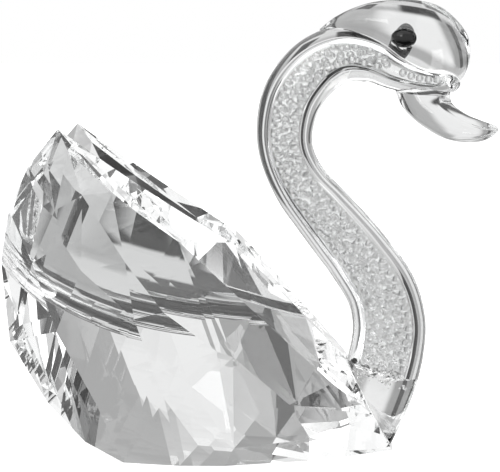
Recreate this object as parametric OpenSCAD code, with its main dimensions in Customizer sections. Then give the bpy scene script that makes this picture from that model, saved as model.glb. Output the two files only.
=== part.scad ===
// Crystal swan figurine: a cut and polished body with two raised wings, and a bent glass
// tube full of small glass beads for its neck. Millimetres. The swan faces +X, Z is up, and
// the origin is the middle of its outline where it stands on the shelf.

/* [Crystal body] */
// Radius of the wheel that grinds the hollow between the wings
wheel_r = 63; // [62:0.5:64]
// Rounding of the wheel's rim
wheel_rim = 6.5; // [5.5:0.5:7]
// Angle of each side of the wheel from upright, in degrees
wheel_flare = 17.5; // [16:0.5:18.5]
// Height of the wheel's axle above the shelf
wheel_z = 82; // [81.5:0.5:83.5]
// Upward tilt of the flat breast that the neck is glued to, in degrees
breast_tilt = 27; // [26.5:0.1:27.5]

/* [Neck] */
// Diameter of one glass bead
bead_d = 1.35; // [1.3:0.01:1.4]
// Thickness of the adhesive films
bond_t = 0.15; // [0.1:0.01:0.2]

/* [Eyes] */
// Height of each black glass eye
eye_d = 3.1; // [2.8:0.1:3.4]
// Length of each eye from front to back
eye_long = 4; // [3.6:0.1:4.2]
// Height of the eyes above the shelf
eye_z = 66.2; // [65.5:0.1:67]

/* [Hidden] */

clearance = 0.03;
sides = 28;
golden_angle = 137.508;

// ---- crystal body ----

// Corners of the cut facets on one flank, as [forward, out from the middle, up]
wing_edge = [[-29.5, 12, 52], [-2, 9, 34], [9.5, 6, 21.5], [16, 3.6, 14.6]];
shoulder = [[-27.5, 14.6, 48.5], [-25, 17.6, 42], [-20.5, 17.6, 42.5], [-16.5, 18.6, 39.5],
    [-10, 19, 35], [1.5, 17, 24]];
tail_edge = [[-31, 12.8, 46.5], [-29.5, 16, 39.5], [-28, 17.8, 34.5], [-33.5, 13.4, 31],
    [-29.5, 15.4, 20.5], [-23, 16.6, 9]];
tail = [[-34.5, 10.2, 46], [-38, 7.8, 39], [-39.8, 5, 30.5], [-38.5, 5, 17.5], [-32, 8, 8],
    [-25.5, 12, 2.5]];
flank = [[-18, 21.4, 32], [-25, 19.6, 30.5], [-12, 22.9, 24.5], [-16.5, 23, 23.5],
    [-4, 22, 18.5], [-1.5, 21.2, 17.5], [-13.5, 22.5, 15], [-12, 21.8, 11]];
breast_side = [[2.5, 18.6, 8.5], [7, 16.8, 9.5], [13.5, 11, 12], [20, 6.8, 6.4], [24.2, 2.4, 0.9]];
hem = [[-7, 19.6, 3.5], [-1.5, 19.1, 3], [8, 15, 3.5], [10, 14.2, 4]];
rim = [[-19, 16, 0], [-10, 18.2, 0], [-3, 18, 0], [10, 12.8, 0], [18, 7, 0], [24.4, 2, 0]];
corners = concat(wing_edge, shoulder, tail_edge, tail, flank, breast_side, hem, rim);

breast_n = [cos(breast_tilt), 0, sin(breast_tilt)];
breast_distance = 20.6;
wheel_x = -2.6;
blank = 120;

// Solid with the given corners and their mirror images
module cut_block(points) {
    both = concat(points, [for (p = points) [p[0], -p[1], p[2]]]);
    hull()
        polyhedron(points = both, faces = [[for (i = [0:len(both) - 1]) i]]);
}

// Everything on the far side of the breast's plane, moved out by the given distance
module beyond_breast(distance) {
    rotate([0, -breast_tilt, 0])
        translate([distance, -blank / 2, -blank / 2])
            cube(blank);
}

// Round-bottomed hollow between the wings, ground by the rim of a large upright wheel
module wing_hollow() {
    lip = [wheel_r - wheel_rim * (1 - sin(wheel_flare)), wheel_rim * cos(wheel_flare)];
    hub = lip[1] + lip[0] * tan(wheel_flare);
    translate([wheel_x, 0, wheel_z])
        rotate([90, 0, 0]) {
            rotate_extrude($fn = 180)
                translate([wheel_r - wheel_rim, 0]) circle(r = wheel_rim, $fn = 96);
            rotate_extrude($fn = 180)
                polygon([[0, -hub], lip - [0, 2 * lip[1]], lip, [0, hub]]);
        }
}

module crystal_body() {
    color("gainsboro")
        difference() {
            cut_block(corners);
            wing_hollow();
            beyond_breast(breast_distance);
        }
}

// ---- the neck's line ----

// Stations along the middle of the tube, as [forward, up, outside radius, bore radius]
stations = [[15.6, -1.6, 5.7, 3.7], [17.2, 2, 5.8, 3.8], [18.8, 5.6, 5.9, 3.85],
    [20.2, 9, 6, 3.9], [21.4, 12.6, 6.05, 3.95], [22.3, 16.5, 5.95, 3.95],
    [22.5, 20.6, 5.9, 3.9], [21.2, 25.6, 5.7, 3.65], [17.8, 30.8, 5.4, 3.35],
    [14.6, 34.8, 5.2, 3.15], [11.5, 38.5, 4.9, 2.9], [8.9, 41.6, 4.6, 2.6],
    [7, 44.8, 4.4, 2.45], [5.8, 48.2, 4.4, 2.4], [5.6, 51.8, 4.55, 2.45],
    [6.5, 56, 4.8, 2.5], [8.5, 59.4, 4.85, 2.45], [11.4, 62.1, 4.8, 2.2],
    [15.2, 63.6, 4.6, 1.9], [19.6, 63, 4, 1.6], [23.1, 61.2, 3.25, 1.3],
    [27, 59.8, 2.7, 1], [30.6, 59.4, 2.5, 0.9], [32.6, 59.4, 2.4, 0.9]];
last = len(stations) - 1;
crown = 32;
tube_end = last - 1.1;
bore_end = last - 1.5;
bead_start = 4;

function station(i) = stations[min(max(i, 0), last)];
// Smooth curve through the stations: position and radii at s, counted in stations
function spine(s) = let (i = min(floor(s), last - 1), f = s - i, a = station(i - 1),
    b = station(i), c = station(i + 1), d = station(i + 2))
    b + 0.5 * f * (c - a + f * (2 * a - 5 * b + 4 * c - d + f * (3 * (b - c) + d - a)));
function speed(s) = let (d = (spine(s + 0.01) - spine(s - 0.01)) / 0.02) norm([d[0], d[1]]);
function heading(s) = let (d = spine(s + 0.01) - spine(s - 0.01)) [d[0], 0, d[1]] / norm([d[0], d[1]]);
function middle(s) = let (p = spine(s)) [p[0], 0, p[1]];
function outward(s, angle) = let (t = heading(s)) cos(angle) * [-t[2], 0, t[0]] + [0, sin(angle), 0];

// Point at s on a skin of the tube: the outside moved out by grow, or the bore
function skin(s, angle, bore, grow) =
    middle(s) + (spine(s)[bore ? 3 : 2] + grow) * outward(s, angle);
// Where one lengthwise line of a skin meets a plane parallel to the breast
function foot(angle, bore, grow, distance, low = 0, high = 6, tries = 26) =
    let (s = (low + high) / 2)
    tries == 0 ? s
    : skin(s, angle, bore, grow) * breast_n > distance
        ? foot(angle, bore, grow, distance, low, s, tries - 1)
        : foot(angle, bore, grow, distance, s, high, tries - 1);

angles = [for (j = [0:sides - 1]) j * 360 / sides];
// Rings of a skin from the breast's plane to top, closed by a dome of the given length
function skin_rings(bore, grow, distance, top, rings, dome) = concat(
    [for (i = [0:rings]) [for (a = angles)
        let (low = foot(a, bore, grow, distance)) skin(low + (top - low) * i / rings, a, bore, grow)]],
    [for (e = [22.5, 45, 67.5, 87]) [for (a = angles)
        middle(top) + dome * sin(e) * heading(top)
            + cos(e) * (skin(top, a, bore, grow) - middle(top))]]);

// Closed solid through a list of rings, capped flat at both ends
module rings_solid(rings) {
    n = len(rings[0]);
    top = len(rings) - 1;
    polyhedron(
        points = [for (r = rings) each r],
        faces = concat(
            [for (i = [0:top - 1]) for (j = [0:n - 1]) for (half = [0, 1])
                let (a = i * n + j, b = i * n + (j + 1) % n)
                half == 0 ? [a, b, b + n] : [a, b + n, a + n]],
            [[for (j = [n - 1:-1:0]) j]],
            [[for (j = [0:n - 1]) top * n + j]]),
        convexity = 6);
}

// The outside of the tube without its bore, grown by the given amount, from one of its rings up
module neck_blank(grow, from = 0) {
    rings = skin_rings(false, grow, breast_distance + bond_t, tube_end, 56,
        spine(tube_end)[2] + grow);
    rings_solid([for (i = [from:len(rings) - 1]) rings[i]]);
}

module neck_tube() {
    color("lightcyan")
        difference() {
            neck_blank(0);
            rings_solid(skin_rings(true, 0, breast_distance - 1, bore_end, 48, 2));
        }
}

module neck_bond() {
    ring = [for (a = angles) skin(foot(a, false, 0, breast_distance + bond_t), a, false, 0)];
    color("white")
        rings_solid([[for (p = ring) p - bond_t * breast_n], ring]);
}

module resin_plug() {
    distance = breast_distance + bond_t;
    color("white")
        rings_solid([for (i = [0:6]) [for (a = angles)
            let (low = foot(a, true, -clearance, distance), s = low + (bead_start - low) * i / 6)
            skin(s, a, true, -clearance)]]);
}

// ---- beads: shells of beads wound round the bore at the golden angle, about a core ----

bead_area = 1.54 * bead_d * bead_d;
bead_from = bead_start + 0.16;
bead_to = bore_end + 0.3;

// Radius of a shell of bead centres: 0 is the one against the glass
function shell_r(s, shell) = spine(s)[3] - clearance - bead_d / 2 - shell * 1.02 * bead_d;
function has_shell(s, shell) = shell_r(s, shell) > bead_d / 2;
// The core runs where the innermost shell leaves room for it, and past the end of the shells
function has_core(s) = let (back = s - 0.3)
    has_shell(back, 1) ? shell_r(s, 1) > 1.03 * bead_d
    : has_shell(back, 0) ? shell_r(s, 0) > 1.03 * bead_d
    : true;
function shell_beads(shell) = [for (s = bead_from, k = 0; s < bead_to;
    s = s + bead_area / (2 * PI * max(shell_r(s, shell), bead_d / 2)) / speed(s), k = k + 1)
    if (has_shell(s, shell)) middle(s) + shell_r(s, shell) * outward(s, k * golden_angle)];
function core_beads() = [for (s = bead_from; s < bead_to; s = s + 1.08 * bead_d / speed(s))
    if (has_core(s)) middle(s)];
function all_beads() = concat(shell_beads(0), shell_beads(1), core_beads());

module bead_group(low, high) {
    color("whitesmoke")
        for (p = all_beads())
            if (p[2] >= low && p[2] < high)
                translate(p) sphere(d = bead_d, $fn = 24);
}

module beads_lower() { bead_group(0, 28); }
module beads_middle() { bead_group(28, 50); }
module beads_upper() { bead_group(50, 100); }

// ---- head and beak: rings between a lower and an upper outline ----

// Sections as [lower forward, lower up, upper forward, upper up, half width]
head_sections = [[11.2, 67.2, 11.2, 67.6, 0.3], [12.6, 67.2, 12.6, 68.8, 1.5],
    [14.1, 66.9, 14.1, 69.8, 2.5], [16.4, 66.4, 16.4, 70.9, 3.6], [19.2, 65.4, 19.2, 71.8, 4.4],
    [22.1, 63.8, 22.1, 72.2, 5], [25, 62, 25, 72.3, 5.3], [28, 60.4, 28, 72, 5.3],
    [30.4, 58.8, 30.4, 71.2, 5], [32.3, 57.5, 32.3, 69.8, 4.4], [33.8, 58.6, 33.8, 68.2, 3.5],
    [34.8, 60.8, 34.8, 66.6, 2.1], [35.2, 63, 35.2, 65.2, 0.8]];
beak_sections = [[22.8, 59.4, 32.2, 58.8, 2], [24.2, 55.6, 32.2, 56.4, 2.8],
    [26.2, 53.3, 32.8, 55.4, 3.4], [28.3, 51.7, 34, 54.5, 3.7], [31, 50.2, 35.4, 53.7, 3.8],
    [34, 49.5, 36.7, 53.2, 3.5], [36.9, 49.6, 38.3, 52.6, 2.8], [38.8, 50.4, 39.4, 52.2, 1.7],
    [39.8, 51.3, 39.9, 51.7, 0.4]];

function section(list, s) = let (i = min(floor(s), len(list) - 2), f = s - i,
    a = list[max(i - 1, 0)], b = list[i], c = list[i + 1], d = list[min(i + 2, len(list) - 1)])
    b + 0.5 * f * (c - a + f * (2 * a - 5 * b + 4 * c - d + f * (3 * (b - c) + d - a)));
function section_ring(q) = let (low = [q[0], 0, q[1]], high = [q[2], 0, q[3]])
    [for (a = angles) (low + high) / 2 + cos(a) * (high - low) / 2 + [0, q[4] * sin(a), 0]];

module loft(list, steps) {
    rings_solid([for (i = [0:steps * (len(list) - 1)]) section_ring(section(list, i / steps))]);
}

eye_x = 24.6;
eye_y = 4.25;
// Rounded eye, longer than it is tall, swollen by the given amount
module eye_form(side, grow, fineness) {
    translate([eye_x, side * eye_y, eye_z])
        scale([eye_long / eye_d, 1, 1])
            sphere(d = eye_d + grow, $fn = fineness);
}

module eye_left() { color("black") eye_form(1, 0, 32); }
module eye_right() { color("black") eye_form(-1, 0, 32); }

module head() {
    color("azure")
        difference() {
            loft(head_sections, 2);
            neck_blank(clearance, crown);
            for (side = [-1, 1])
                eye_form(side, clearance, 28);
        }
}

module beak() {
    color("azure")
        difference() {
            loft(beak_sections, 2);
            neck_blank(bond_t, crown);
        }
}

module beak_bond() {
    color("white")
        difference() {
            intersection() {
                loft(beak_sections, 2);
                neck_blank(bond_t, crown);
            }
            neck_blank(0, crown);
        }
}

crystal_body();
neck_bond();
neck_tube();
resin_plug();
beads_lower();
beads_middle();
beads_upper();
head();
eye_left();
eye_right();
beak();
beak_bond();
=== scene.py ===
import math
import random

import bmesh
import bpy
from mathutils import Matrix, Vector, noise


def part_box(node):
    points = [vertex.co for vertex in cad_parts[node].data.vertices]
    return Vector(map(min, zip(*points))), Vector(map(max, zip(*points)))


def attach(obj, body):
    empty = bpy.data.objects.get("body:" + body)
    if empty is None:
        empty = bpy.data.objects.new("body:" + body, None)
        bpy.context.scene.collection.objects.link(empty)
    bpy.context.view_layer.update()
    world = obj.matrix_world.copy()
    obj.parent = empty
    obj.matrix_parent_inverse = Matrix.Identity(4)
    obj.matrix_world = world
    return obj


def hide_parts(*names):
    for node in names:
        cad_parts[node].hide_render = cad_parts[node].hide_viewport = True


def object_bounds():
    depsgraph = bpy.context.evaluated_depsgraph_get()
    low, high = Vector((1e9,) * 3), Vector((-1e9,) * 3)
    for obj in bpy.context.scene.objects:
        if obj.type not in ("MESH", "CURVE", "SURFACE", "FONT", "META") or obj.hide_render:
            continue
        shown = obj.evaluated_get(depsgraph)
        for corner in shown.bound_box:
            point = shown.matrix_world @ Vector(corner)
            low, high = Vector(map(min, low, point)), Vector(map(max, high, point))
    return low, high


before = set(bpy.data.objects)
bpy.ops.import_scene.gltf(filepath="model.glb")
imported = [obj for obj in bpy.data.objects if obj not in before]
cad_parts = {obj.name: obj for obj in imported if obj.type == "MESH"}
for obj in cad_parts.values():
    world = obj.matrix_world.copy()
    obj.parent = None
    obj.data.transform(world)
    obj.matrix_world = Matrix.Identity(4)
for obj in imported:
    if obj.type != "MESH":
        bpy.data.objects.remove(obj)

cad_low, cad_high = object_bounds()
MM = 0.001

# ---- driving sizes, in millimetres ----

# The flat breast that the neck stands on, and the films and gaps between pieces
BREAST_TILT = math.radians(27)
BREAST_DISTANCE = 20.6
BREAST_NORMAL = Vector((math.cos(BREAST_TILT), 0, math.sin(BREAST_TILT)))
BOND = 0.15
GAP = 0.03
EYE_GAP = 0.015

# The wheel that grinds the hollow between the wings, the skin that the polish takes off, and
# the width of the line that is left along an edge
WHEEL_R = 63
WHEEL_RIM = 6.5
WHEEL_FLARE = math.radians(17.5)
WHEEL_X = -2.6
WHEEL_Z = 82
WHEEL_ARC = (-60, 30)
POLISH = 0.01
EDGE_WIDTH = 0.11

# Sides and rings of the round skins
ROUND = 96
TUBE_RINGS = 240
BORE_RINGS = 216
FOOT_RINGS = 24
DOME_RINGS = 10
CROWN_RING = 130
RIM_RINGS = 24

# The closed mouth: place and width in degrees round the beak, depth, and reach along the beak
MOUTH_ANGLE = 62
MOUTH_WIDTH = 4
MOUTH_DEPTH = 0.2
MOUTH_FROM, MOUTH_FADE_IN = 0.12, 0.1
MOUTH_TO, MOUTH_FADE_OUT = 0.93, 0.15

# Beads, and bubbles in the resin
BEAD = 1.35
SMALLEST_BEAD = 0.94
GOLDEN_ANGLE = math.radians(137.508)
BUBBLES = 26
BUBBLE_R = (0.1, 0.3)
RESIN_SAG = 0.55
RESIN_WAVES = 0.9
SAG_SHARES = (0.94, 0.86, 0.76, 0.66, 0.56, 0.46, 0.36, 0.26, 0.16, 0.07)

# Stations along the middle of the neck, as (forward, up, outside radius, bore radius)
STATIONS = [
    (15.6, -1.6, 5.7, 3.7), (17.2, 2, 5.8, 3.8), (18.8, 5.6, 5.9, 3.85), (20.2, 9, 6, 3.9),
    (21.4, 12.6, 6.05, 3.95), (22.3, 16.5, 5.95, 3.95), (22.5, 20.6, 5.9, 3.9),
    (21.2, 25.6, 5.7, 3.65), (17.8, 30.8, 5.4, 3.35), (14.6, 34.8, 5.2, 3.15),
    (11.5, 38.5, 4.9, 2.9), (8.9, 41.6, 4.6, 2.6), (7, 44.8, 4.4, 2.45), (5.8, 48.2, 4.4, 2.4),
    (5.6, 51.8, 4.55, 2.45), (6.5, 56, 4.8, 2.5), (8.5, 59.4, 4.85, 2.45), (11.4, 62.1, 4.8, 2.2),
    (15.2, 63.6, 4.6, 1.9), (19.6, 63, 4, 1.6), (23.1, 61.2, 3.25, 1.3), (27, 59.8, 2.7, 1),
    (30.6, 59.4, 2.5, 0.9), (32.6, 59.4, 2.4, 0.9),
]
LAST = len(STATIONS) - 1
TUBE_END = LAST - 1.1
BORE_END = LAST - 1.5
BORE_DOME = 2
BEAD_START = 4
BEAD_FROM = BEAD_START + 0.16
BEAD_TO = BORE_END + 0.3
BEAD_AREA = 1.54 * BEAD * BEAD
BEAD_GROUPS = {"beads_lower": (0, 28), "beads_middle": (28, 50), "beads_upper": (50, 100)}

# Sections of the head and beak, as (lower forward, lower up, upper forward, upper up, half width)
HEAD_SECTIONS = [
    (11.2, 67.2, 11.2, 67.6, 0.3), (12.6, 67.2, 12.6, 68.8, 1.5), (14.1, 66.9, 14.1, 69.8, 2.5),
    (16.4, 66.4, 16.4, 70.9, 3.6), (19.2, 65.4, 19.2, 71.8, 4.4), (22.1, 63.8, 22.1, 72.2, 5),
    (25, 62, 25, 72.3, 5.3), (28, 60.4, 28, 72, 5.3), (30.4, 58.8, 30.4, 71.2, 5),
    (32.3, 57.5, 32.3, 69.8, 4.4), (33.8, 58.6, 33.8, 68.2, 3.5), (34.8, 60.8, 34.8, 66.6, 2.1),
    (35.2, 63, 35.2, 65.2, 0.8),
]
BEAK_SECTIONS = [
    (22.8, 59.4, 32.2, 58.8, 2), (24.2, 55.6, 32.2, 56.4, 2.8), (26.2, 53.3, 32.8, 55.4, 3.4),
    (28.3, 51.7, 34, 54.5, 3.7), (31, 50.2, 35.4, 53.7, 3.8), (34, 49.5, 36.7, 53.2, 3.5),
    (36.9, 49.6, 38.3, 52.6, 2.8), (38.8, 50.4, 39.4, 52.2, 1.7), (39.8, 51.3, 39.9, 51.7, 0.4),
]


# ---- shader workbench ----

class Signal:
    """A number or colour on its way through a node tree, which adds up with Python's operators."""

    def __init__(self, bench, socket):
        self.bench = bench
        self.socket = socket

    def math(self, operation, *others):
        inputs = dict(enumerate((self, *others)))
        return self.bench.add("ShaderNodeMath", {"operation": operation}, inputs)

    def __add__(self, other):
        return self.math("ADD", other)

    def __sub__(self, other):
        return self.math("SUBTRACT", other)

    def __mul__(self, other):
        return self.math("MULTIPLY", other)

    def __radd__(self, other):
        return self.math("ADD", other)

    def __rmul__(self, other):
        return self.math("MULTIPLY", other)

    def __rsub__(self, other):
        return self.bench.add("ShaderNodeMath", {"operation": "SUBTRACT"}, {0: other, 1: self})


class Bench:
    """Adds nodes to one tree."""

    def __init__(self, tree):
        self.tree = tree
        tree.nodes.clear()

    def add(self, kind, settings=None, inputs=None, out=0):
        node = self.tree.nodes.new(kind)
        for name, value in (settings or {}).items():
            if name == "stops":
                while len(node.color_ramp.elements) < len(value):
                    node.color_ramp.elements.new(0.5)
                for stop, (place, colour) in zip(node.color_ramp.elements, value):
                    stop.position = place
                    stop.color = (*colour, 1)
            else:
                setattr(node, name, value)
        for name, value in (inputs or {}).items():
            socket = node.inputs[name]
            if isinstance(value, Signal):
                self.tree.links.new(value.socket, socket)
            else:
                socket.default_value = value
        return Signal(self, node.outputs[out]) if node.outputs else node


def grey(value):
    """A colour with no hue."""
    return (value, value, value, 1)


# ---- finishes ----

def glass(name, tint, ior, dust, ripple, ripple_size):
    """Clear glass with a polished skin: faint ripples, and dust specks that scatter light."""
    material = bpy.data.materials.new(name)
    material.use_nodes = True
    bench = Bench(material.node_tree)
    place = bench.add("ShaderNodeTexCoord", out=3)
    speck = bench.add("ShaderNodeTexVoronoi", {"feature": "F1"}, {"Vector": place, "Scale": 900.0})
    mask = bench.add("ShaderNodeMapRange", {"interpolation_type": "SMOOTHSTEP"},
                     {"Value": speck, "From Min": 0.05, "From Max": 0.1, "To Min": 1.0, "To Max": 0.0})
    patch = bench.add("ShaderNodeTexNoise", {}, {"Vector": place, "Scale": 120.0, "Detail": 3.0})
    dusty = bench.add("ShaderNodeMapRange", {"interpolation_type": "SMOOTHSTEP"},
                      {"Value": patch, "From Min": 0.52, "From Max": 0.7})
    waves = bench.add("ShaderNodeTexNoise", {}, {"Vector": place, "Scale": ripple_size, "Detail": 2.0})
    bump = bench.add("ShaderNodeBump", {}, {"Height": waves, "Strength": ripple, "Distance": 0.0001})
    skin = bench.add("ShaderNodeBsdfPrincipled", {}, {
        "Base Color": tint, "IOR": ior, "Transmission Weight": 1.0, "Normal": bump,
        "Roughness": mask * dusty * dust})
    bench.add("ShaderNodeOutputMaterial", {}, {"Surface": skin})
    return material


def ground_edge(name, roughness, ior):
    """The narrow unpolished line that a lap leaves along the edges of a facet."""
    material = bpy.data.materials.new(name)
    material.use_nodes = True
    bench = Bench(material.node_tree)
    place = bench.add("ShaderNodeTexCoord", out=3)
    chips = bench.add("ShaderNodeTexNoise", {}, {"Vector": place, "Scale": 2500.0, "Detail": 4.0})
    skin = bench.add("ShaderNodeBsdfPrincipled", {}, {
        "Base Color": grey(1.0), "IOR": ior, "Transmission Weight": 1.0,
        "Roughness": chips * 0.3 + (roughness - 0.15)})
    bench.add("ShaderNodeOutputMaterial", {}, {"Surface": skin})
    return material


def black_glass(name):
    """Black glass, with a soft smear where it was pressed in."""
    material = bpy.data.materials.new(name)
    material.use_nodes = True
    bench = Bench(material.node_tree)
    place = bench.add("ShaderNodeTexCoord", out=3)
    smear = bench.add("ShaderNodeTexNoise", {}, {"Vector": place, "Scale": 800.0, "Detail": 3.0})
    skin = bench.add("ShaderNodeBsdfPrincipled", {}, {
        "Base Color": grey(0.003), "IOR": 1.45, "Roughness": smear * 0.06 + 0.02})
    bench.add("ShaderNodeOutputMaterial", {}, {"Surface": skin})
    return material


def bead_glass(name):
    """Clear glass beads with a little milk in the melt, some of them duller than others."""
    material = bpy.data.materials.new(name)
    material.use_nodes = True
    bench = Bench(material.node_tree)
    place = bench.add("ShaderNodeTexCoord", out=3)
    mix = bench.add("ShaderNodeTexNoise", {}, {"Vector": place, "Scale": 600.0, "Detail": 1.0})
    dull = bench.add("ShaderNodeMapRange", {"interpolation_type": "SMOOTHSTEP"},
                     {"Value": mix, "From Min": 0.4, "From Max": 0.7, "To Min": 0.02, "To Max": 0.12})
    skin = bench.add("ShaderNodeBsdfPrincipled", {}, {
        "Base Color": grey(1.0), "IOR": 1.5, "Transmission Weight": 0.93, "Roughness": dull})
    bench.add("ShaderNodeOutputMaterial", {}, {"Surface": skin})
    return material


def wetted_glass(name):
    """Glass that resin or an eye clings to: light goes through this face without a bend."""
    material = bpy.data.materials.new(name)
    material.use_nodes = True
    bench = Bench(material.node_tree)
    place = bench.add("ShaderNodeTexCoord", out=3)
    stain = bench.add("ShaderNodeTexNoise", {}, {"Vector": place, "Scale": 400.0, "Detail": 3.0})
    tone = bench.add("ShaderNodeValToRGB", {"stops": [(0.4, (1, 1, 1)), (0.75, (0.93, 0.93, 0.93))]},
                     {"Fac": stain})
    skin = bench.add("ShaderNodeBsdfPrincipled", {}, {
        "Base Color": tone, "IOR": 1.0, "Transmission Weight": 1.0, "Roughness": 0.0,
        "Specular IOR Level": 0.0})
    bench.add("ShaderNodeOutputMaterial", {}, {"Surface": skin})
    return material


# ---- mesh workbench ----

def spline(rows, s):
    """Smooth curve through rows of numbers, at s rows from the first."""
    i = min(int(math.floor(s)), len(rows) - 2)
    f = s - i
    a, b, c, d = (rows[min(max(i + step, 0), len(rows) - 1)] for step in (-1, 0, 1, 2))
    return [
        q + 0.5 * f * (r - p + f * (2 * p - 5 * q + 4 * r - t + f * (3 * (q - r) + t - p)))
        for p, q, r, t in zip(a, b, c, d)
    ]


def skin_rows(bm, rows, closed=(True, True)):
    """Joins rows of points into one tube of quads, and closes its ends if asked."""
    grid = [[bm.verts.new(p * MM) for p in row] for row in rows]
    turns = len(grid[0])
    for low, high in zip(grid, grid[1:]):
        for j in range(turns):
            k = (j + 1) % turns
            bm.faces.new((low[j], low[k], high[k], high[j]))
    if closed[0]:
        bm.faces.new(grid[0][::-1])
    if closed[1]:
        bm.faces.new(grid[-1])
    return grid


def wet_rows(bm, grid, low_row, high_row):
    """Gives the quads between two rows of a skin the piece's second material."""
    for low, high in zip(grid[low_row:high_row], grid[low_row + 1:high_row + 1]):
        for j in range(ROUND):
            k = (j + 1) % ROUND
            bm.faces.get((low[j], low[k], high[k], high[j])).material_index = 1


def piece(name, bm, materials, node, sharp=35, hollows=()):
    """Turns a mesh into a piece that rides on the root and stands for a CAD node."""
    bmesh.ops.recalc_face_normals(bm, faces=bm.faces)
    if hollows:
        bmesh.ops.reverse_faces(bm, faces=list(hollows))
    for face in bm.faces:
        face.smooth = True
    mesh = bpy.data.meshes.new(name)
    bm.to_mesh(mesh)
    bm.free()
    if sharp:
        mesh.set_sharp_from_angle(angle=math.radians(sharp))
    for material in materials:
        mesh.materials.append(material)
    thing = bpy.data.objects.new(name, mesh)
    bpy.context.scene.collection.objects.link(thing)
    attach(thing, "root")
    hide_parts(node)
    return thing


# ---- the neck ----

def middle(s):
    """The point on the middle of the tube at s, counted in stations."""
    x, z = spline(STATIONS, s)[:2]
    return Vector((x, 0, z))


def heading(s):
    return (middle(s + 0.01) - middle(s - 0.01)).normalized()


def speed(s):
    return (middle(s + 0.01) - middle(s - 0.01)).length / 0.02


def outward(s, angle):
    """The direction from the middle of the tube to its skin, round from the back of the neck."""
    t = heading(s)
    return Vector((-t.z * math.cos(angle), math.sin(angle), t.x * math.cos(angle)))


def tube_r(s):
    return spline(STATIONS, s)[2]


def bore_r(s):
    return spline(STATIONS, s)[3]


def foot(angle, radius, distance):
    """Where one lengthwise line of a skin meets a plane parallel to the breast."""
    low, high = 0.0, 6.0
    for _ in range(26):
        s = (low + high) / 2
        if (middle(s) + radius(s) * outward(s, angle)).dot(BREAST_NORMAL) > distance:
            high = s
        else:
            low = s
    return low


ANGLES = [2 * math.pi * j / ROUND for j in range(ROUND)]


def feet_of(radius):
    """Where a skin's lengthwise lines meet the plane that the tube was cut to."""
    return [foot(a, radius, BREAST_DISTANCE + BOND) for a in ANGLES]


def tube_rows(radius, starts, top, rings, dome=0.0):
    """Rings of a skin from its starts, one for each lengthwise line, up to top, with a dome past it."""
    rows = []
    for i in range(rings + 1):
        marks = [low + (top - low) * i / rings for low in starts]
        rows.append([middle(s) + radius(s) * outward(s, a) for s, a in zip(marks, ANGLES)])
    if dome:
        for e in (math.radians(90 / DOME_RINGS * k) for k in range(1, DOME_RINGS)):
            rows.append([middle(top) + dome * math.sin(e) * heading(top)
                         + math.cos(e) * radius(top) * outward(top, a) for a in ANGLES])
    return rows


def neck_tube(finish, wetted):
    """The tube, whose bore is wetted where the resin fills it."""
    bm = bmesh.new()
    outside_rows = tube_rows(tube_r, feet_of(tube_r), TUBE_END, TUBE_RINGS, tube_r(TUBE_END))
    foot_rows = tube_rows(bore_r, feet_of(bore_r), BEAD_START, FOOT_RINGS)
    dry_rows = tube_rows(bore_r, [BEAD_START] * ROUND, BORE_END, BORE_RINGS, BORE_DOME)
    outside = skin_rows(bm, outside_rows, (False, True))
    inside = skin_rows(bm, foot_rows + dry_rows[1:], (False, True))
    wet_rows(bm, inside, 0, FOOT_RINGS)
    for j in range(ROUND):
        k = (j + 1) % ROUND
        bm.faces.new((outside[0][j], inside[0][j], inside[0][k], outside[0][k]))
    return piece("neck_tube_blown", bm, [finish, wetted], "neck_tube")


def resin_plug(finish, wetted):
    """The cast plug: it wets the bore, its top sags between the beads, and bubbles sit under it."""
    bm = bmesh.new()

    def radius(s):
        return bore_r(s) - GAP

    walls = tube_rows(radius, feet_of(radius), BEAD_START, FOOT_RINGS)
    centre, along = middle(BEAD_START), heading(BEAD_START)
    top = []
    for share in SAG_SHARES:
        ring = []
        for p in walls[-1]:
            q = centre + share * (p - centre)
            sag = (1 - share ** 4) * (RESIN_SAG + RESIN_WAVES * noise.noise(q * 1.5))
            ring.append(q - sag * along)
        top.append(ring)
    grid = skin_rows(bm, walls + top)
    wet_rows(bm, grid, 0, FOOT_RINGS)
    bm.faces.get(grid[0][::-1]).material_index = 1
    hollows = set()
    chance = random.Random(7)
    for _ in range(BUBBLES):
        size = chance.uniform(*BUBBLE_R)
        turn = chance.uniform(0, 2 * math.pi)
        out = (bore_r(BEAD_START) - 2 * BUBBLE_R[1]) * math.sqrt(chance.random())
        s = BEAD_START - 0.3 - abs(chance.gauss(0, 0.12))
        made = bmesh.ops.create_icosphere(bm, subdivisions=3, radius=size * MM)["verts"]
        bmesh.ops.translate(bm, verts=made, vec=(middle(s) + out * outward(s, turn)) * MM)
        hollows.update(face for vert in made for face in vert.link_faces)
    return piece("resin_plug_cast", bm, [finish, wetted], "resin_plug", hollows=hollows)


# ---- beads: shells wound round the bore at the golden angle, about a core ----

def shell_r(s, shell):
    """Radius of a shell of bead centres: 0 is the one against the glass."""
    return bore_r(s) - GAP - BEAD / 2 - shell * 1.02 * BEAD


def has_core(s):
    """The core runs where the innermost shell leaves room for it, and past the shells' end."""
    back = s - 0.3
    for shell in (1, 0):
        if shell_r(back, shell) > BEAD / 2:
            return shell_r(s, shell) > 1.03 * BEAD
    return True


def bead_places():
    """Middles of all the beads: the shells from the glass inwards, then the core."""
    places = []
    for shell in (0, 1):
        s, turn = BEAD_FROM, 0
        while s < BEAD_TO:
            reach = shell_r(s, shell)
            if reach > BEAD / 2:
                places.append(middle(s) + reach * outward(s, turn * GOLDEN_ANGLE))
            s += BEAD_AREA / (2 * math.pi * max(reach, BEAD / 2)) / speed(s)
            turn += 1
    s = BEAD_FROM
    while s < BEAD_TO:
        if has_core(s):
            places.append(middle(s))
        s += 1.08 * BEAD / speed(s)
    return places


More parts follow.
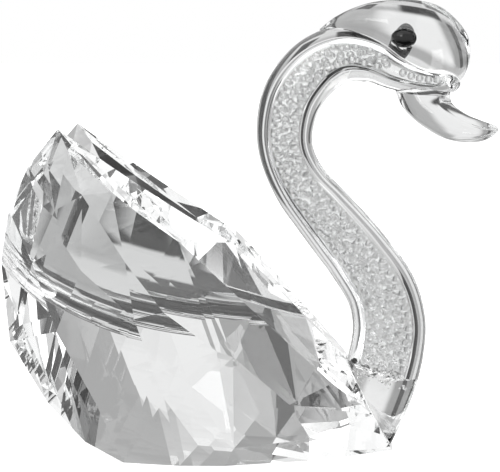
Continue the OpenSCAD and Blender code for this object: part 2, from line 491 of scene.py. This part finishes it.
def beads(finish):
    """The beads, in the three groups of the CAD model, each bead a little different in size."""
    chance = random.Random(3)
    places = [(p, chance.uniform(SMALLEST_BEAD, 1)) for p in bead_places()]
    for node, (low, high) in BEAD_GROUPS.items():
        bm = bmesh.new()
        for place, share in places:
            if low <= place.z < high:
                size = share * BEAD / 2 * MM
                made = bmesh.ops.create_icosphere(bm, subdivisions=3, radius=size)["verts"]
                bmesh.ops.translate(bm, verts=made, vec=place * MM)
        piece(node + "_glass", bm, [finish], node, sharp=0)


def neck_bond(finish):
    """The film under the tube's cut foot, a little short of the tube and of the breast."""
    bm = bmesh.new()
    ring = tube_rows(tube_r, feet_of(tube_r), TUBE_END, 8)[0]
    skin_rows(bm, [[p - depth * BREAST_NORMAL for p in ring] for depth in (BOND - 0.02, 0.02)])
    return piece("neck_bond_film", bm, [finish], "neck_bond")


# ---- head and beak ----

def section_ring(section, crease=0.0):
    """One ring of a loft. A crease presses a line into both sides, for a closed mouth."""
    low, high = Vector((section[0], 0, section[1])), Vector((section[2], 0, section[3]))
    ring = []
    for a in ANGLES:
        turn = min(math.degrees(a), 360 - math.degrees(a))
        dent = 1 - crease * math.exp(-((turn - MOUTH_ANGLE) / MOUTH_WIDTH) ** 2) / section[4]
        ring.append((low + high) / 2 + dent * (math.cos(a) * (high - low) / 2
                    + Vector((0, section[4] * math.sin(a), 0))))
    return ring


def loft_rows(sections, steps, crease=0.0):
    """Rings of a loft. The crease fades in and out along it."""
    count = steps * (len(sections) - 1)
    rows = []
    for i in range(count + 1):
        share = i / count
        fade_in = min(max((share - MOUTH_FROM) / MOUTH_FADE_IN, 0), 1)
        fade_out = min(max((MOUTH_TO - share) / MOUTH_FADE_OUT, 0), 1)
        rows.append(section_ring(spline(sections, i / steps), crease * (fade_in * fade_out)))
    return rows


def cutter(name, bm):
    """A plain closed object for cut_away, which removes it again."""
    bmesh.ops.recalc_face_normals(bm, faces=bm.faces)
    mesh = bpy.data.meshes.new(name)
    bm.to_mesh(mesh)
    bm.free()
    thing = bpy.data.objects.new(name, mesh)
    bpy.context.scene.collection.objects.link(thing)
    return thing


def crown_cutter(grow):
    """The outside of the tube where the head and beak sit on it."""
    bm = bmesh.new()
    rows = tube_rows(tube_r, feet_of(tube_r), TUBE_END, TUBE_RINGS, tube_r(TUBE_END))[CROWN_RING:]
    centres = [sum(row, Vector()) / len(row) for row in rows]
    grown = [[p + grow * (p - c).normalized() if (p - c).length > 0.3 else p for p in row]
             for row, c in zip(rows, centres)]
    skin_rows(bm, grown)
    return cutter("crown_cutter", bm)


def eye_cutter(eye):
    """The rounded eye that fills a box, grown by the gap that it has in its socket."""
    low, high = eye
    centre, half = (low + high) / 2, (high - low) / 2
    bm = bmesh.new()
    bmesh.ops.create_uvsphere(bm, u_segments=64, v_segments=40, radius=1.0)
    for v in bm.verts:
        v.co = Vector(c + (h + EYE_GAP * MM) * q for c, h, q in zip(centre, half, v.co))
    return cutter("eye_cutter", bm)


def cut_away(bm, cutters):
    """Subtracts closed meshes from a closed mesh."""
    block = cutter("block", bm)
    for tool in cutters:
        change = block.modifiers.new("cut", "BOOLEAN")
        change.operation = "DIFFERENCE"
        change.solver = "EXACT"
        change.object = tool
    bpy.context.view_layer.update()
    evaluated = block.evaluated_get(bpy.context.evaluated_depsgraph_get())
    mesh = bpy.data.meshes.new_from_object(evaluated)
    left = bmesh.new()
    left.from_mesh(mesh)
    bpy.data.meshes.remove(mesh)
    for tool in (block, *cutters):
        bpy.data.objects.remove(tool)
    return left


def in_eye(point, low, high):
    """Whether a point lies in or on the rounded eye that fills the box from low to high."""
    return sum(((p - (a + b) / 2) / ((b - a) / 2)) ** 2 for p, a, b in zip(point, low, high)) < 1.15


def head(finish, wetted):
    """The head, gathered round the end of the tube, whose sockets cling to the eyes."""
    bm = bmesh.new()
    skin_rows(bm, loft_rows(HEAD_SECTIONS, 6))
    eyes = [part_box(node) for node in ("eye_right", "eye_left")]
    bm = cut_away(bm, [crown_cutter(GAP), *(eye_cutter(eye) for eye in eyes)])
    for face in bm.faces:
        centre = face.calc_center_median()
        face.material_index = int(any(in_eye(centre, *eye) for eye in eyes))
    return piece("head_gather", bm, [finish, wetted], "head", sharp=40)


def beak(finish):
    """The beak, drawn out to a flat tip, with its mouth closed."""
    bm = bmesh.new()
    skin_rows(bm, loft_rows(BEAK_SECTIONS, 8, MOUTH_DEPTH))
    bm = cut_away(bm, [crown_cutter(BOND)])
    return piece("beak_drawn", bm, [finish], "beak", sharp=40)


# ---- the cut body ----

def polishing_wheel():
    """The lower part of the wheel that the hollow was ground with, finely divided."""
    radius, rim = WHEEL_R + POLISH, WHEEL_RIM + POLISH
    reach = math.pi / 2 - WHEEL_FLARE
    arc = [reach * k / RIM_RINGS for k in range(-RIM_RINGS, RIM_RINGS + 1)]
    profile = [(radius - rim + rim * math.cos(a), rim * math.sin(a)) for a in arc]
    hub = profile[-1][1] + (profile[-1][0] - 1) * math.tan(WHEEL_FLARE)
    profile = [(1, -hub)] + profile + [(1, hub)]
    rows = []
    low, high = WHEEL_ARC
    for turn in (math.radians(low + k / 2) for k in range(2 * (high - low) + 1)):
        rows.append([Vector((WHEEL_X + r * math.sin(turn), y, WHEEL_Z - r * math.cos(turn)))
                     for r, y in profile])
    bm = bmesh.new()
    skin_rows(bm, rows)
    return cutter("polishing_wheel", bm)


def crystal_body(finish, edge_finish):
    """The CAD block with its triangles merged into facets, its hollow polished and its edges eased."""
    bm = bmesh.new()
    bm.from_mesh(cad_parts["crystal_body"].data)
    bmesh.ops.remove_doubles(bm, verts=bm.verts, dist=0.002 * MM)
    bmesh.ops.dissolve_limit(bm, angle_limit=math.radians(0.4), verts=bm.verts, edges=bm.edges)
    bm = cut_away(bm, [polishing_wheel()])
    for face in bm.faces:
        face.material_index = 0
    ridges = [e for e in bm.edges if e.is_manifold and e.calc_face_angle_signed() > math.radians(3)]
    bmesh.ops.bevel(bm, geom=ridges, offset=EDGE_WIDTH * MM / 2, segments=1, profile=0.5,
                    affect="EDGES", offset_type="WIDTH", material=1, clamp_overlap=True)
    for edge in bm.edges:
        edge.smooth = edge.is_manifold and edge.calc_face_angle_signed() < -math.radians(0.1)
    return piece("crystal_body_cut", bm, [finish, edge_finish], "crystal_body", sharp=0)


# ---- floor, light and camera ----

def floor():
    """A plain white floor, which light that has been through the glass doesn't see."""
    bm = bmesh.new()
    bmesh.ops.create_grid(bm, x_segments=1, y_segments=1, size=6)
    mesh = bpy.data.meshes.new("floor")
    bm.to_mesh(mesh)
    bm.free()
    material = bpy.data.materials.new("floor_white")
    material.use_nodes = True
    bench = Bench(material.node_tree)
    skin = bench.add("ShaderNodeBsdfPrincipled", {}, {
        "Base Color": grey(0.9), "Roughness": 0.8, "Specular IOR Level": 0.0,
        "Emission Color": grey(1.0), "Emission Strength": 0.6})
    bench.add("ShaderNodeOutputMaterial", {}, {"Surface": skin})
    mesh.materials.append(material)
    thing = bpy.data.objects.new("floor", mesh)
    thing.location = (0, 0, -0.05 * MM)
    bpy.context.scene.collection.objects.link(thing)
    thing.visible_transmission = False
    thing.visible_glossy = False


def sky_panel(bench, direction, azimuth, elevation, half_width, half_height, soft):
    """How much a direction falls on a flat panel seen from the swan, from 0 to 1."""
    a, e = math.radians(azimuth), math.radians(elevation)
    front = (math.sin(a) * math.cos(e), math.cos(a) * math.cos(e), math.sin(e))
    right = (math.cos(a), -math.sin(a), 0.0)
    up = (-math.sin(a) * math.sin(e), -math.cos(a) * math.sin(e), math.cos(e))
    depth, across, rise = (
        bench.add("ShaderNodeVectorMath", {"operation": "DOT_PRODUCT"}, {0: direction, 1: axis}, out=1)
        for axis in (front, right, up))
    mask = depth.math("GREATER_THAN", 0.0)
    for along, half in ((across, half_width), (rise, half_height)):
        limit = math.tan(math.radians(half))
        edge = math.tan(math.radians(half + soft)) - limit
        spread = along.math("ABSOLUTE").math("DIVIDE", depth.math("MAXIMUM", 0.001))
        mask = mask * bench.add("ShaderNodeMapRange", {"interpolation_type": "SMOOTHSTEP"}, {
            "Value": spread, "From Min": limit, "From Max": limit + edge, "To Min": 1.0, "To Max": 0.0})
    return mask


# Panels round the swan, each over the ones before it:
# (azimuth, elevation, half width, half height, softness, level)
PANELS = [
    (180, 50, 80, 32, 10, 1.0),
    (180, 0, 45, 24, 8, 1.0),
    (0, -90, 60, 60, 10, 0.66),
    (0, -90, 43, 43, 3, 0.05),
    (1, -43, 10, 13, 3, 0.64),
    (0, 2, 70, 30, 8, 0.42),
    (0, 38, 45, 9, 4, 0.75),
    (-34, -6, 16, 18, 4, 0.34),
    (62, 12, 8, 20, 4, 0.6),
    (48, -14, 10, 30, 3, 0.01),
    (-54, 10, 4, 16, 1.5, 0.05),
    (-30, -4, 3, 18, 2, 0.08),
    (-10, -32, 9, 7, 3, 0.01),
    (22, -30, 4, 6.5, 1.5, 0.02),
    (-2, -6, 9, 14, 8, 0.84),
    (0, 90, 38, 38, 6, 1.4),
    (-140, 38, 20, 16, 3, 2),
    (-158, 24, 7, 8, 1.5, 5),
]
SURROUND = 1.05


def studio():
    """A white studio for the camera, and pale and dark panels for all other light."""
    world = bpy.data.worlds.new("studio")
    bpy.context.scene.world = world
    world.use_nodes = True
    bench = Bench(world.node_tree)
    direction = bench.add("ShaderNodeTexCoord", out=0)
    level = SURROUND
    for azimuth, elevation, half_width, half_height, soft, brightness in PANELS:
        mask = sky_panel(bench, direction, azimuth, elevation, half_width, half_height, soft)
        level = level + mask * (brightness - level)
    seen = bench.add("ShaderNodeLightPath")
    level = level + seen * (1.0 - level)
    sky = bench.add("ShaderNodeBackground", {}, {"Color": grey(1.0), "Strength": level})
    bench.add("ShaderNodeOutputWorld", {}, {"Surface": sky})


def camera():
    """A long lens in front of the swan's right side, aimed a little under half its height."""
    azimuth, elevation = math.radians(3), math.radians(5)
    distance, lens, aim = 0.36, 160.2, 0.474
    back = Vector((math.sin(azimuth) * math.cos(elevation),
                   -math.cos(azimuth) * math.cos(elevation), math.sin(elevation)))
    target = Vector((0, 0, cad_low.z + aim * (cad_high.z - cad_low.z)))
    data = bpy.data.cameras.new("camera")
    data.lens = lens
    data.sensor_width = 36
    data.clip_start = 0.01
    view = bpy.data.objects.new("camera", data)
    view.location = target + back * distance
    view.rotation_euler = back.to_track_quat("Z", "Y").to_euler()
    bpy.context.scene.collection.objects.link(view)
    bpy.context.scene.camera = view


# ---- the swan ----

CRYSTAL_IOR = 1.53
TINT = (0.985, 0.99, 0.99, 1)
crystal = glass("cut_crystal", TINT, CRYSTAL_IOR, 0.25, 0.15, 60.0)
tube = glass("tube_glass", TINT, 1.48, 0.1, 0.3, 150.0)
lamp = glass("lamp_glass", TINT, 1.48, 0.1, 0.3, 150.0)
bead = bead_glass("bead_glass")
wetted = wetted_glass("wetted_glass")
resin = glass("clear_resin", (0.98, 0.98, 0.97, 1), 1.5, 0.1, 0.6, 500.0)
film = glass("adhesive", (0.98, 0.98, 0.98, 1), 1.5, 0.3, 1.0, 900.0)

crystal_body(crystal, ground_edge("ground_edge", 0.3, CRYSTAL_IOR))
neck_tube(tube, wetted)
resin_plug(resin, wetted)
beads(bead)
neck_bond(film)
head(lamp, wetted)
beak(lamp)
eye_black = black_glass("black_glass")
for node, material in (("eye_left", eye_black), ("eye_right", eye_black), ("beak_bond", film)):
    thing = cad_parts[node]
    thing.data.materials.clear()
    thing.data.materials.append(material)

floor()
studio()
camera()

scene = bpy.context.scene
scene.view_settings.view_transform = "Standard"
scene.cycles.max_bounces = 64
scene.cycles.transmission_bounces = 64
scene.cycles.glossy_bounces = 16
scene.cycles.sample_clamp_indirect = 6
